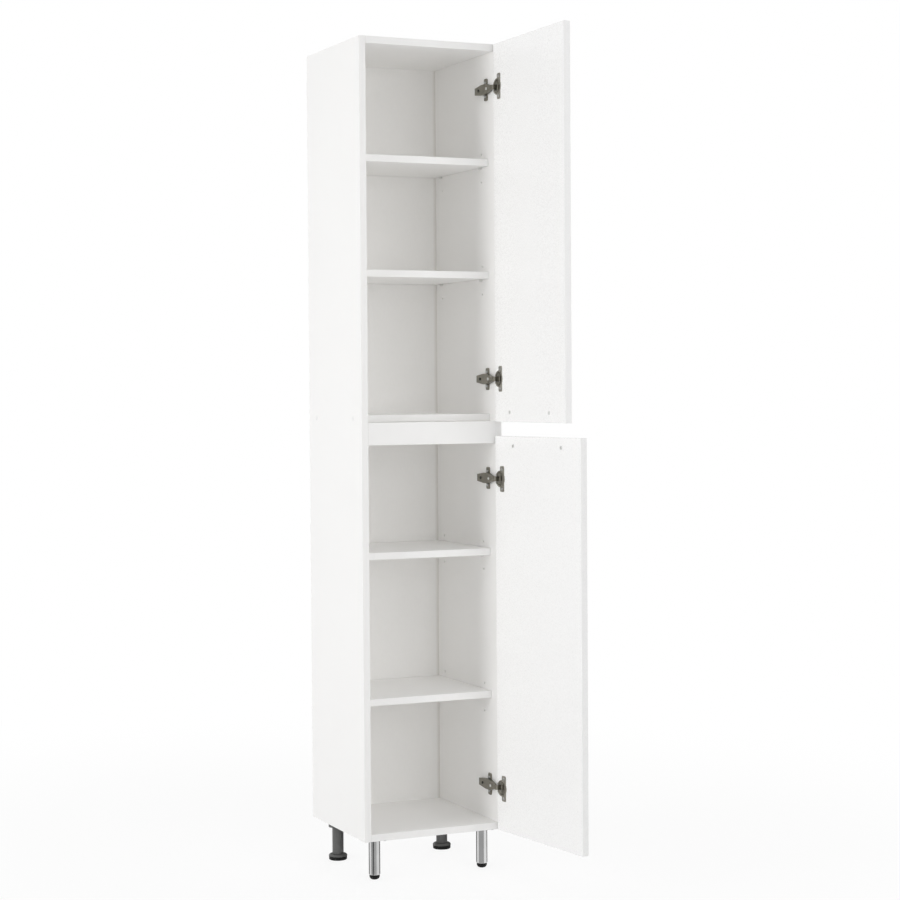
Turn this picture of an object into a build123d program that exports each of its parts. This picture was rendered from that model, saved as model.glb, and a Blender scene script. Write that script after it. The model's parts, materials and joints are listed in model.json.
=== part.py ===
from build123d import *
import os

# Tall cabinet in millimetres. The origin is the middle of the lower edge of the back.
# +Z is up, the wall is at +Y, the front faces -Y and the doors hang on the +X side.

# carcass
CARCASS_W = 350.0
CARCASS_H = 1820.0
PANEL_D = 327.0
BOARD = 16.0
BACK_T = 3.0
EDGE_R = 0.6

# fixed shelf, with the front rail just under it
FIXED_TOP = 968.0
RAIL_H = 51.3
RAIL_GAP = 0.7

# loose shelves, and the clear heights of the spaces that set them
SHELF_SETBACK = 29.0
SHELF_SIDE_PLAY = 0.5
SHELF_BACK_PLAY = 1.0
BOTTOM_SPACE = 288.0
SECOND_SPACE = 318.0
FOURTH_SPACE = 314.0
TOP_SPACE = 245.0

# clearance of a piece in its hole, and how much deeper the hole is
FIT = 0.05
HOLE_SPARE = 1.0

# pins under the loose shelves, with a spare hole above and below each
PIN_R = 2.5
PIN_IN = 9.0
PIN_OUT = 8.0
PIN_INSET = 37.0
ROW_PITCH = 32.0

# dowels
DOWEL_R = 4.0
DOWEL_IN_SIDE = 10.0
DOWEL_IN_PANEL = 20.0
DOWEL_INSET = 98.0
RAIL_DOWEL_INSET = 12.5

# cam fittings
CAM_R = 7.5
CAM_DEPTH = 13.0
CAM_FROM_END = 34.0
CAM_INSET = 122.0
CAM_SLOT_L = 8.0
CAM_SLOT_W = 1.2
CAM_SLOT_DEPTH = 1.0
BOLT_SHANK_R = 3.0
BOLT_PLAY = 1.0
BOLT_THREAD_R = 2.5
BOLT_IN_SIDE = 11.0

# long screws that hold the fixed shelf, and their caps
LONG_SCREW_R = 2.5
LONG_SCREW_L = 50.0
LONG_HEAD_R = 5.0
LONG_HEAD_T = 4.0
SOCKET_R = 2.0
SOCKET_DEPTH = 3.0
CAP_R = 6.5
CAP_T = 0.8
LONG_SCREW_FRONT = 24.0
LONG_SCREW_REAR = 45.0

# nails of the back panel
NAIL_R = 0.8
NAIL_L = 18.0
NAIL_HEAD_R = 1.8
NAIL_HEAD_T = 0.6
NAIL_ROWS = 9
NAIL_END = 38.0
SHELF_NAIL_INSET = 100.0

# wood screws of the hinges and feet
WOOD_SCREW_R = 1.9
WOOD_HEAD_R = 3.5
WOOD_HEAD_T = 2.0
WOOD_SCREW_BITE = 11.0

# doors, with how far the lower one laps the rail and the angle each stands open
DOOR_T = 16.0
DOOR_GAP = 2.5
DOOR_REVEAL = 3.2
DOOR_END_REVEAL = 1.0
LOWER_LAP = 17.0
UPPER_LAP = 1.3
UPPER_OPEN = 90.5
LOWER_OPEN = 97.0

# hinge cups in the doors
HINGE_INSET = 99.0
CUP_R = 17.5
CUP_FROM_EDGE = 3.0
CUP_DEPTH = 12.5
CUP_FLOOR = 0.8
CUP_WALL = 1.0
FLANGE_T = 1.2
FLANGE_R = 19.0
FLANGE_FROM_EDGE = 3.2
FLANGE_NOSE_HALF = 11.0
FLANGE_CORNER = 3.0
EAR_SPACING = 45.0
EAR_OFFSET = 9.5
EAR_NEAR = 9.0
EAR_FAR = 7.0
EAR_END = 7.0
CUP_HEAD_T = 1.2

# hinge pins and the cheeks that hold them
AXIS_FROM_EDGE = 6.4
AXIS_DEPTH = 9.0
HINGE_PIN_R = 1.25
HINGE_PIN_HALF = 8.0
CHEEK_PLAY = 0.7
CHEEK_DEPTH = 4.0
CHEEK_REACH = 11.0

# hinge arms
NECK_HALF = 5.5
NECK_T = 2.2
NECK_RUN = 11.0
NECK_BEND = 4.0
KNUCKLE_R = 2.4
ARM_NOSE = 2.0
ARM_LENGTH = 80.0
ARM_CLEAR = 0.5
ARM_TAIL_HALF = 8.0
ARM_WALL = 1.2
ARM_SHOULDER = 24.0
ARM_HIP = 46.0
ARM_PLAY = 0.1
ARM_SCREWS = (17.0, 60.0)
ARM_SCREW_R = 2.0
ARM_HEAD_R = 3.4
ARM_HEAD_T = 1.6

# hinge mounting plates
PLATE_LINE = 37.0
PLATE_HOLES = 32.0
PLATE_HALF = 25.5
PLATE_W = 16.0
PLATE_T = 2.5
PLATE_CORNER = 4.0
RIDGE_PLAY = 1.5
RIDGE_START = 12.0
RIDGE_SHORTFALL = 4.0

# bow handles
HANDLE_HOLES = 192.0
HANDLE_FROM_EDGE = 22.0
HANDLE_BAR = 10.0
HANDLE_T = 8.0
HANDLE_STANDOFF = 24.0
HANDLE_CORNER = 4.0
HANDLE_SCREW_R = 2.0
HANDLE_SCREW_BITE = 11.0
HANDLE_HEAD_R = 4.0
HANDLE_HEAD_T = 1.8

# all four feet
FOOT_H = 95.0
FOOT_SIDE_INSET = 39.0
FRONT_FOOT_INSET = 39.0
REAR_FOOT_INSET = 60.0
FOOT_PLATE = 50.0
FOOT_PLATE_T = 3.0
FOOT_PLATE_CORNER = 5.0
FOOT_SCREW_HALF = 18.5

# front feet: tube, plug and glide
TUBE_R = 13.0
TUBE_WALL = 1.5
PLUG_H = 14.0
TUBE_LIP_R = 0.8
GLIDE_R = 12.0
GLIDE_H = 11.0
GLIDE_GAP = 0.3
GLIDE_ROUND = 5.0
STUD_R = 4.0
STUD_L = 38.0

# rear feet: socket and base
SOCKET_TUBE_R = 13.4
COLLAR_R = 22.0
COLLAR_H = 13.5
STEM_R = 9.0
STEM_L = 50.0
STEM_HEADROOM = 20.0
BASE_R = 22.2
BASE_H = 14.0
BASE_GAP = 0.3
BASE_ROUND = 5.0
BASE_CHAMFER = 1.0

# lines that several pieces share
SIDES = (-1, 1)
HALF_W = CARCASS_W / 2
INSIDE_X = HALF_W - BOARD
BACK_Y = 0.0
REAR_Y = BACK_Y - BACK_T
FRONT_Y = REAR_Y - PANEL_D
SHELF_FRONT = FRONT_Y + SHELF_SETBACK
FIXED_MID = FIXED_TOP - BOARD / 2
RAIL_TOP = FIXED_TOP - BOARD - RAIL_GAP
RAIL_BOTTOM = RAIL_TOP - RAIL_H
SHELF_1_TOP = BOARD + BOTTOM_SPACE + BOARD
SHELF_2_TOP = SHELF_1_TOP + SECOND_SPACE + BOARD
SHELF_3_TOP = FIXED_TOP + FOURTH_SPACE + BOARD
SHELF_4_TOP = CARCASS_H - BOARD - TOP_SPACE
SHELF_TOPS = (SHELF_1_TOP, SHELF_2_TOP, SHELF_3_TOP, SHELF_4_TOP)
PANEL_MIDS = (BOARD / 2, CARCASS_H - BOARD / 2)
DOWEL_LINES = (FRONT_Y + DOWEL_INSET, REAR_Y - DOWEL_INSET)
CAM_LINES = (FRONT_Y + CAM_INSET, REAR_Y - CAM_INSET)
DOOR_RIGHT = HALF_W - DOOR_REVEAL
DOOR_LEFT = DOOR_REVEAL - HALF_W
DOOR_MID = (DOOR_LEFT + DOOR_RIGHT) / 2
DOOR_IN_Y = FRONT_Y - DOOR_GAP
DOOR_OUT_Y = DOOR_IN_Y - DOOR_T
UPPER_DOOR_TOP = CARCASS_H - DOOR_END_REVEAL
UPPER_DOOR_BOTTOM = RAIL_TOP - UPPER_LAP
LOWER_DOOR_TOP = RAIL_BOTTOM + LOWER_LAP
UPPER_HINGES = (UPPER_DOOR_BOTTOM + HINGE_INSET, UPPER_DOOR_TOP - HINGE_INSET)
LOWER_HINGES = (DOOR_END_REVEAL + HINGE_INSET, LOWER_DOOR_TOP - HINGE_INSET)
ALL_HINGES = LOWER_HINGES + UPPER_HINGES
AXIS_X = DOOR_RIGHT - AXIS_FROM_EDGE
AXIS_Y = DOOR_IN_Y - AXIS_DEPTH
CUP_X = DOOR_RIGHT - CUP_FROM_EDGE - CUP_R
EAR_X = CUP_X - EAR_OFFSET
PLATE_Y = FRONT_Y + PLATE_LINE
PLATE_FACE = INSIDE_X - PLATE_T
ARM_HALF = PLATE_HOLES / 2 - WOOD_HEAD_R - ARM_CLEAR
WEB_X = AXIS_X - NECK_RUN - NECK_BEND
WEB_OUT = WEB_X - NECK_T / 2
WEB_IN = WEB_X + NECK_T / 2
FOOT_X = HALF_W - FOOT_SIDE_INSET
FRONT_FOOT_Y = FRONT_Y + FRONT_FOOT_INSET
REAR_FOOT_Y = REAR_Y - REAR_FOOT_INSET
FOOT_PLACES = {
    "front_left": (-FOOT_X, FRONT_FOOT_Y),
    "front_right": (FOOT_X, FRONT_FOOT_Y),
    "rear_left": (-FOOT_X, REAR_FOOT_Y),
    "rear_right": (FOOT_X, REAR_FOOT_Y),
}


def block(x, y, z):
    """A box from three pairs of limits."""
    centre = Pos((x[0] + x[1]) / 2, (y[0] + y[1]) / 2, (z[0] + z[1]) / 2)
    return centre * Box(abs(x[1] - x[0]), abs(y[1] - y[0]), abs(z[1] - z[0]))


def rod_x(x0, x1, y, z, r):
    """A round bar along X."""
    return Pos((x0 + x1) / 2, y, z) * Rot(0, 90, 0) * Cylinder(r, abs(x1 - x0))


def rod_y(y0, y1, x, z, r):
    """A round bar along Y."""
    return Pos(x, (y0 + y1) / 2, z) * Rot(90, 0, 0) * Cylinder(r, abs(y1 - y0))


def rod_z(z0, z1, x, y, r):
    """A round bar along Z."""
    return Pos(x, y, (z0 + z1) / 2) * Cylinder(r, abs(z1 - z0))


def about(middle, half):
    """Limits either side of a middle."""
    return (middle - half, middle + half)


def front_rounded(board, axis):
    """A board with its front edges rounded along one axis."""
    return fillet(board.edges().filter_by(axis).group_by(Axis.Y)[0], EDGE_R)


def save(name, *solids):
    """Writes one node, of one solid or of several alike."""
    shape = solids[0] if len(solids) == 1 else Compound(children=list(solids))
    export_step(shape, os.path.join("parts", name + ".step"))


def make_dowels():
    """Dowels at both ends of the top panel, the bottom panel and the rail."""
    places = [(y, z) for z in PANEL_MIDS for y in DOWEL_LINES]
    rail_y = FRONT_Y + BOARD / 2
    places += [(rail_y, z) for z in (RAIL_BOTTOM + RAIL_DOWEL_INSET, RAIL_TOP - RAIL_DOWEL_INSET)]
    dowels = []
    bores = []
    for side in SIDES:
        inner = INSIDE_X - DOWEL_IN_PANEL
        outer = INSIDE_X + DOWEL_IN_SIDE
        for y, z in places:
            dowels.append(rod_x(side * inner, side * outer, y, z, DOWEL_R))
            ends = (side * (inner - HOLE_SPARE), side * (outer + HOLE_SPARE))
            bores.append(rod_x(*ends, y, z, DOWEL_R + FIT))
    save("wood_dowels", *dowels)
    return bores


def make_cams():
    """Bolts in the sides, and the cams that draw the top and bottom panels onto them."""
    cams = []
    bolts = []
    bores = []
    bore_r = BOLT_SHANK_R + BOLT_PLAY
    faces = ((PANEL_MIDS[0], 0.0, 1), (PANEL_MIDS[1], CARCASS_H, -1))
    for side in SIDES:
        x = side * (INSIDE_X - CAM_FROM_END)
        root = side * INSIDE_X
        for y in CAM_LINES:
            for mid, face, inward in faces:
                floor = face + inward * CAM_DEPTH
                cam = rod_z(face, floor, x, y, CAM_R - FIT)
                notch = rod_x(x - side * bore_r, x + side * CAM_R, y, mid, bore_r)
                slot_z = (face, face + inward * CAM_SLOT_DEPTH)
                slot = block(about(x, CAM_SLOT_L / 2), about(y, CAM_SLOT_W / 2), slot_z)
                cams.append(cam - [notch, slot])
                thread = rod_x(root, root + side * BOLT_IN_SIDE, y, mid, BOLT_THREAD_R)
                bolts.append(rod_x(x, root, y, mid, BOLT_SHANK_R) + thread)
                thread_end = root + side * (BOLT_IN_SIDE + HOLE_SPARE)
                bores.append(rod_z(face, floor, x, y, CAM_R))
                bores.append(rod_x(x, root, y, mid, bore_r))
                bores.append(rod_x(root, thread_end, y, mid, BOLT_THREAD_R + FIT))
    save("cam_locks", *cams)
    save("cam_bolts", *bolts)
    return bores


def make_long_screws():
    """Screws through the sides into the fixed shelf, with a cap on each head."""
    screws = []
    caps = []
    bores = []
    z = FIXED_MID
    for side in SIDES:
        face = side * HALF_W
        seat = side * (HALF_W - LONG_HEAD_T)
        tip = side * (HALF_W - LONG_SCREW_L)
        socket = side * (HALF_W - SOCKET_DEPTH)
        for y in (SHELF_FRONT + LONG_SCREW_FRONT, REAR_Y - LONG_SCREW_REAR):
            screw = rod_x(seat, face, y, z, LONG_HEAD_R) + rod_x(tip, seat, y, z, LONG_SCREW_R)
            screws.append(screw - rod_x(socket, face, y, z, SOCKET_R))
            disc = rod_x(face, face + side * CAP_T, y, z, CAP_R)
            stem = rod_x(socket + side * HOLE_SPARE, face, y, z, SOCKET_R - FIT)
            caps.append(disc + stem)
            bores.append(rod_x(seat, face, y, z, LONG_HEAD_R + FIT))
            bores.append(rod_x(tip - side * HOLE_SPARE, seat, y, z, LONG_SCREW_R + FIT))
    save("shelf_screws", *screws)
    save("screw_caps", *caps)
    return bores


def make_shelf_pins():
    """Pins that carry the loose shelves, in holes with spares above and below."""
    pins = []
    bores = []
    for side in SIDES:
        wall = side * INSIDE_X
        deep = INSIDE_X + PIN_IN
        for y in (SHELF_FRONT + PIN_INSET, REAR_Y - PIN_INSET):
            for top in SHELF_TOPS:
                z = top - BOARD - PIN_R
                pins.append(rod_x(side * (INSIDE_X - PIN_OUT), side * deep, y, z, PIN_R))
                for step in (-1, 0, 1):
                    level = z + step * ROW_PITCH
                    bores.append(rod_x(wall, side * (deep + HOLE_SPARE), y, level, PIN_R + FIT))
    save("shelf_pins", *pins)
    return bores


def make_nails():
    """Nails through the back panel into the boards in front of it, driven flush."""
    pitch = (CARCASS_H - 2 * NAIL_END) / (NAIL_ROWS - 1)
    places = [(0.0, z) for z in PANEL_MIDS]
    for side in SIDES:
        places.append((side * (INSIDE_X - SHELF_NAIL_INSET), FIXED_MID))
        for row in range(NAIL_ROWS):
            places.append((side * (HALF_W - BOARD / 2), NAIL_END + row * pitch))
    nails = []
    bores = []
    tip = BACK_Y - NAIL_L
    seat = BACK_Y - NAIL_HEAD_T
    for x, z in places:
        nails.append(rod_y(seat, BACK_Y, x, z, NAIL_HEAD_R) + rod_y(tip, seat, x, z, NAIL_R))
        bores.append(rod_y(seat, BACK_Y, x, z, NAIL_HEAD_R + FIT))
        bores.append(rod_y(tip - HOLE_SPARE, seat, x, z, NAIL_R + FIT))
    save("back_nails", *nails)
    return bores


def make_plate_screws():
    """Screws that hold the hinge plates to the right side."""
    screws = []
    bores = []
    tip = INSIDE_X + WOOD_SCREW_BITE
    for z in ALL_HINGES:
        for level in about(z, PLATE_HOLES / 2):
            head = rod_x(PLATE_FACE - WOOD_HEAD_T, PLATE_FACE, PLATE_Y, level, WOOD_HEAD_R)
            screws.append(head + rod_x(PLATE_FACE, tip, PLATE_Y, level, WOOD_SCREW_R))
            bores.append(rod_x(PLATE_FACE, tip + HOLE_SPARE, PLATE_Y, level, WOOD_SCREW_R + FIT))
    save("hinge_plate_screws", *screws)
    return bores


def make_foot_screws():
    """Screws that hold the foot plates under the bottom panel."""
    screws = []
    bores = []
    seat = -FOOT_PLATE_T
    for foot_x, foot_y in FOOT_PLACES.values():
        for x in about(foot_x, FOOT_SCREW_HALF):
            for y in about(foot_y, FOOT_SCREW_HALF):
                head = rod_z(seat - WOOD_HEAD_T, seat, x, y, WOOD_HEAD_R)
                screws.append(head + rod_z(seat, WOOD_SCREW_BITE, x, y, WOOD_SCREW_R))
                bores.append(rod_z(seat, WOOD_SCREW_BITE + HOLE_SPARE, x, y, WOOD_SCREW_R + FIT))
    save("foot_screws", *screws)
    return bores


def arm_rods(z, r, x0, x1):
    """Round bars on the two screw lines of one hinge arm."""
    return [rod_x(x0, x1, FRONT_Y + along, z, r) for along in ARM_SCREWS]


def make_arm_screws():
    """Clamping and adjusting screws of the hinge arms."""
    screws = []
    for z in ALL_HINGES:
        heads = arm_rods(z, ARM_HEAD_R, WEB_OUT - ARM_HEAD_T, WEB_OUT)
        shanks = arm_rods(z, ARM_SCREW_R, WEB_OUT, PLATE_FACE)
        screws += [head + shank for head, shank in zip(heads, shanks)]
    save("hinge_arm_screws", *screws)


def arm_outline(inset, rear):
    """Outline of a hinge arm seen square on to the side, about height zero, or of its hollow."""
    places = (ARM_NOSE + inset, ARM_SHOULDER, ARM_HIP, rear)
    halves = (NECK_HALF, ARM_HALF, ARM_HALF, ARM_TAIL_HALF)
    upper = [(FRONT_Y + place, half - inset) for place, half in zip(places, halves)]
    lower = [(along, -across) for along, across in reversed(upper)]
    return make_face(Polyline(*upper, *lower, close=True))


def hinge_arm(z):
    """Channel arm with its bent neck and the knuckle that turns on the pin."""
    bend_x = AXIS_X - NECK_RUN
    bend_y = AXIS_Y + NECK_BEND
    neck_end = FRONT_Y + ARM_NOSE + NECK_BEND
    knuckle = Pos(AXIS_X, AXIS_Y) * Circle(KNUCKLE_R)
    run = Pos(AXIS_X - NECK_RUN / 2, AXIS_Y) * Rectangle(NECK_RUN, NECK_T)
    ring = Circle(NECK_BEND + NECK_T / 2) - Circle(NECK_BEND - NECK_T / 2)
    quarter = Pos(-NECK_BEND, -NECK_BEND) * Rectangle(2 * NECK_BEND, 2 * NECK_BEND)
    bend = Pos(bend_x, bend_y) * (ring & quarter)
    shank = Pos(WEB_X, (bend_y + neck_end) / 2) * Rectangle(NECK_T, neck_end - bend_y)
    neck = extrude(knuckle + run + bend + shank, NECK_HALF, both=True)
    lower_edge = PLATE_FACE - ARM_PLAY
    channel = extrude(Plane.YZ.offset(WEB_OUT) * arm_outline(0, ARM_LENGTH), lower_edge - WEB_OUT)
    hollow_outline = arm_outline(ARM_WALL, ARM_LENGTH + ARM_WALL)
    hollow = extrude(Plane.YZ.offset(WEB_IN) * hollow_outline, lower_edge - WEB_IN)
    pin_bore = rod_z(*about(0, NECK_HALF), AXIS_X, AXIS_Y, HINGE_PIN_R + FIT)
    arm = Pos(0, 0, z) * (channel - hollow + neck - pin_bore)
    return arm - arm_rods(z, ARM_SCREW_R + FIT, WEB_OUT, WEB_IN)


def hinge_plate(z, screw_bores):
    """Cross plate on the side, with the ridge that the arm sits on."""
    wing = block((PLATE_FACE, INSIDE_X), about(PLATE_Y, PLATE_W / 2), about(z, PLATE_HALF))
    wing = fillet(wing.edges().filter_by(Axis.X), PLATE_CORNER)
    ridge_half = ARM_TAIL_HALF - ARM_WALL - RIDGE_PLAY
    ridge_y = (FRONT_Y + RIDGE_START, FRONT_Y + ARM_LENGTH - RIDGE_SHORTFALL)
    ridge = block((WEB_IN, INSIDE_X), ridge_y, about(z, ridge_half))
    return wing + ridge - screw_bores - arm_rods(z, ARM_SCREW_R + FIT, WEB_IN, INSIDE_X)


def flange_outline():
    """Outline of a hinge flange seen square on to the closed door, about height zero."""
    nose = (DOOR_RIGHT - FLANGE_FROM_EDGE, FLANGE_NOSE_HALF)
    end = EAR_SPACING / 2 + EAR_END
    upper = [nose, (EAR_X + EAR_NEAR, FLANGE_R), (EAR_X + EAR_NEAR, end), (EAR_X - EAR_FAR, end)]
    lower = [(x, -across) for x, across in reversed(upper)]
    outline = make_face(Polyline(*upper, *lower, close=True))
    heights = outline.vertices().group_by(Axis.Y)
    outline = fillet(heights[0] + heights[-1], FLANGE_CORNER)
    lip = Pos(CUP_X, 0) * Circle(FLANGE_R)
    past_nose = Pos(nose[0] + FLANGE_R, 0) * Rectangle(2 * FLANGE_R, 2 * FLANGE_R)
    return outline + (lip - past_nose)


def hinge_cup(z):
    """Flanged cup in the door, open to the door's edge where the neck passes."""
    floor = DOOR_IN_Y - CUP_DEPTH
    inner_floor = floor + CUP_FLOOR
    face = DOOR_IN_Y + FLANGE_T
    flange_y = (DOOR_IN_Y, face)
    ears = about(z, EAR_SPACING / 2)
    neck_z = about(z, NECK_HALF + CHEEK_PLAY)
    edge_x = (DOOR_RIGHT - CHEEK_REACH, DOOR_RIGHT)
    body = rod_y(floor, DOOR_IN_Y, CUP_X, z, CUP_R - FIT)
    flange_plane = Plane((0, face, z), x_dir=(1, 0, 0), z_dir=(0, -1, 0))
    flange = extrude(flange_plane * flange_outline(), FLANGE_T)
    cup = body + flange - rod_y(inner_floor, face, CUP_X, z, CUP_R - CUP_WALL)
    for level, limit in zip(neck_z, about(z, CUP_R)):
        cup += block(edge_x, (floor, DOOR_IN_Y - CHEEK_DEPTH), (level, limit)) & body
    cup -= block(edge_x, (inner_floor, face), neck_z)
    cup -= rod_z(*about(z, HINGE_PIN_HALF + FIT), AXIS_X, AXIS_Y, HINGE_PIN_R + FIT)
    return cup - [rod_y(*flange_y, EAR_X, level, WOOD_SCREW_R + FIT) for level in ears]


def swing(shape, angle):
    """Turns a door piece from closed to open about the hinge pins."""
    return Pos(AXIS_X, AXIS_Y, 0) * Rot(0, 0, angle) * Pos(-AXIS_X, -AXIS_Y, 0) * shape


def make_handle(name, z, angle):
    """Bow handle and its screws; returns the screw holes of the closed door."""
    posts = about(DOOR_MID, HANDLE_HOLES / 2)
    half = HANDLE_BAR / 2
    bar_y = DOOR_OUT_Y - HANDLE_STANDOFF
    bow = block((posts[0] - half, posts[1] + half), (bar_y - HANDLE_T, DOOR_OUT_Y), about(z, half))
    bow = fillet(bow.edges().filter_by(Axis.Z).group_by(Axis.Y)[0], HANDLE_CORNER)
    bow -= block((posts[0] + half, posts[1] - half), (bar_y, DOOR_OUT_Y), about(z, half))
    tip = DOOR_OUT_Y - HANDLE_SCREW_BITE
    bores = [rod_y(tip - HOLE_SPARE, DOOR_IN_Y, x, z, HANDLE_SCREW_R + FIT) for x in posts]
    screws = []
    for x in posts:
        head = rod_y(DOOR_IN_Y, DOOR_IN_Y + HANDLE_HEAD_T, x, z, HANDLE_HEAD_R)
        screws.append(head + rod_y(tip, DOOR_IN_Y, x, z, HANDLE_SCREW_R))
    save(name + "_handle", swing(bow - bores, angle))
    save(name + "_handle_screws", *[swing(screw, angle) for screw in screws])
    return bores


def make_cup_screws(name, levels, angle):
    """Screws of the hinge cups; returns their holes in the closed door."""
    seat = DOOR_IN_Y + FLANGE_T
    tip = DOOR_IN_Y - WOOD_SCREW_BITE
    screws = []
    bores = []
    for z in levels:
        for level in about(z, EAR_SPACING / 2):
            head = rod_y(seat, seat + CUP_HEAD_T, EAR_X, level, WOOD_HEAD_R)
            screws.append(head + rod_y(tip, seat, EAR_X, level, WOOD_SCREW_R))
            bores.append(rod_y(tip - HOLE_SPARE, DOOR_IN_Y, EAR_X, level, WOOD_SCREW_R + FIT))
    save(name + "_cup_screws", *[swing(screw, angle) for screw in screws])
    return bores


def make_door(name, low, high, levels, handle_z, angle, plate_bores):
    """One door, drawn closed and written open, with its hinges and handle."""
    board = block((DOOR_LEFT, DOOR_RIGHT), (DOOR_OUT_Y, DOOR_IN_Y), (low, high))
    board = fillet(board.edges(), EDGE_R)
    bores = make_handle(name, handle_z, angle) + make_cup_screws(name, levels, angle)
    bores += [rod_y(DOOR_IN_Y - CUP_DEPTH, DOOR_IN_Y, CUP_X, z, CUP_R) for z in levels]
    save(name + "_door", swing(board - bores, angle))
    pins = [rod_z(*about(z, HINGE_PIN_HALF), AXIS_X, AXIS_Y, HINGE_PIN_R) for z in levels]
    save(name + "_hinge_pins", *[swing(pin, angle) for pin in pins])
    for place, z in zip(("bottom", "top"), levels):
        save(name + "_" + place + "_hinge_cup", swing(hinge_cup(z), angle))
        save(name + "_" + place + "_hinge_arm", hinge_arm(z))
        save(name + "_" + place + "_hinge_plate", hinge_plate(z, plate_bores))


def foot_plate(x, y):
    """Square plate under the bottom panel."""
    plate = block(about(x, FOOT_PLATE / 2), about(y, FOOT_PLATE / 2), (-FOOT_PLATE_T, 0))
    return fillet(plate.edges().filter_by(Axis.Z), FOOT_PLATE_CORNER)


def make_front_foot(name, x, y, screw_bores):
    """Plate with a spigot, a tube over it, and a glide on a stud in the tube's plug."""
    top = -FOOT_PLATE_T
    glide_top = GLIDE_H - FOOT_H
    end = glide_top + GLIDE_GAP
    bore_r = TUBE_R - TUBE_WALL
    spigot = rod_z(top - PLUG_H, top, x, y, bore_r - FIT)
    save(name + "_leg_plate", foot_plate(x, y) + spigot - screw_bores)
    tube = rod_z(end, top, x, y, TUBE_R) - rod_z(end + PLUG_H, top, x, y, bore_r)
    tube = fillet(tube.edges().group_by(Axis.Z)[0], TUBE_LIP_R)
    save(name + "_leg_tube", tube - rod_z(end, end + PLUG_H, x, y, STUD_R + FIT))
    glide = rod_z(-FOOT_H, glide_top, x, y, GLIDE_R)
    glide = fillet(glide.edges().group_by(Axis.Z)[0], GLIDE_ROUND)
    save(name + "_leg_glide", glide + rod_z(glide_top, glide_top + STUD_L, x, y, STUD_R))


def make_rear_foot(name, x, y, screw_bores):
    """Socket with a plate and a collar, and a base whose stem runs in the socket."""
    base_top = BASE_H - FOOT_H
    end = base_top + BASE_GAP
    stem_top = base_top + STEM_L
    seat = -FOOT_PLATE_T
    socket = foot_plate(x, y) + rod_z(seat - COLLAR_H, seat, x, y, COLLAR_R)
    socket += rod_z(end, seat, x, y, SOCKET_TUBE_R)
    socket -= rod_z(end, stem_top + STEM_HEADROOM, x, y, STEM_R + FIT)
    save(name + "_foot_socket", socket - screw_bores)
    base = rod_z(-FOOT_H, base_top, x, y, BASE_R)
    base = fillet(base.edges().group_by(Axis.Z)[-1], BASE_ROUND)
    base = chamfer(base.edges().group_by(Axis.Z)[0], BASE_CHAMFER)
    save(name + "_foot_base", base + rod_z(base_top, stem_top, x, y, STEM_R))


def make_boards(dowel_bores, cam_bores, long_bores, pin_bores, nail_bores, plate_bores, foot_bores):
    """The boards of the carcass with all their holes, and the loose shelves."""
    side_bores = dowel_bores + cam_bores + long_bores + pin_bores + nail_bores + plate_bores + foot_bores
    for side, name in zip(SIDES, ("left_side", "right_side")):
        board = block((side * INSIDE_X, side * HALF_W), (FRONT_Y, REAR_Y), (0, CARCASS_H))
        save(name, front_rounded(board, Axis.Z) - side_bores)
    across = (-INSIDE_X, INSIDE_X)
    panel_bores = dowel_bores + cam_bores + nail_bores + foot_bores
    for name, mid in zip(("bottom_panel", "top_panel"), PANEL_MIDS):
        board = block(across, (FRONT_Y, REAR_Y), about(mid, BOARD / 2))
        save(name, front_rounded(board, Axis.X) - panel_bores)
    board = block(across, (SHELF_FRONT, REAR_Y), about(FIXED_MID, BOARD / 2))
    save("fixed_shelf", front_rounded(board, Axis.X) - (long_bores + nail_bores))
    board = block(across, (FRONT_Y, FRONT_Y + BOARD), (RAIL_BOTTOM, RAIL_TOP))
    save("front_rail", front_rounded(board, Axis.X) - dowel_bores)
    board = block((-HALF_W, HALF_W), (REAR_Y, BACK_Y), (0, CARCASS_H))
    save("back_panel", board - nail_bores)
    shelf_half = INSIDE_X - SHELF_SIDE_PLAY
    for number, top in enumerate(SHELF_TOPS, 1):
        shelf = block(about(0, shelf_half), (SHELF_FRONT, REAR_Y - SHELF_BACK_PLAY), (top - BOARD, top))
        save("shelf_%d" % number, front_rounded(shelf, Axis.X))


os.makedirs("parts", exist_ok=True)
plate_screw_bores = make_plate_screws()
foot_screw_bores = make_foot_screws()
make_boards(
    make_dowels(),
    make_cams(),
    make_long_screws(),
    make_shelf_pins(),
    make_nails(),
    plate_screw_bores,
    foot_screw_bores,
)
make_arm_screws()
lower_handle = LOWER_DOOR_TOP - HANDLE_FROM_EDGE
upper_handle = UPPER_DOOR_BOTTOM + HANDLE_FROM_EDGE
lower_door = (DOOR_END_REVEAL, LOWER_DOOR_TOP, LOWER_HINGES, lower_handle, LOWER_OPEN)
upper_door = (UPPER_DOOR_BOTTOM, UPPER_DOOR_TOP, UPPER_HINGES, upper_handle, UPPER_OPEN)
make_door("lower", *lower_door, plate_screw_bores)
make_door("upper", *upper_door, plate_screw_bores)
for place, (foot_x, foot_y) in FOOT_PLACES.items():
    make_foot = make_front_foot if place.startswith("front") else make_rear_foot
    make_foot(place, foot_x, foot_y, foot_screw_bores)
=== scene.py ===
import json
import math

import bmesh
import bpy
from mathutils import Matrix, Vector


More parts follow.
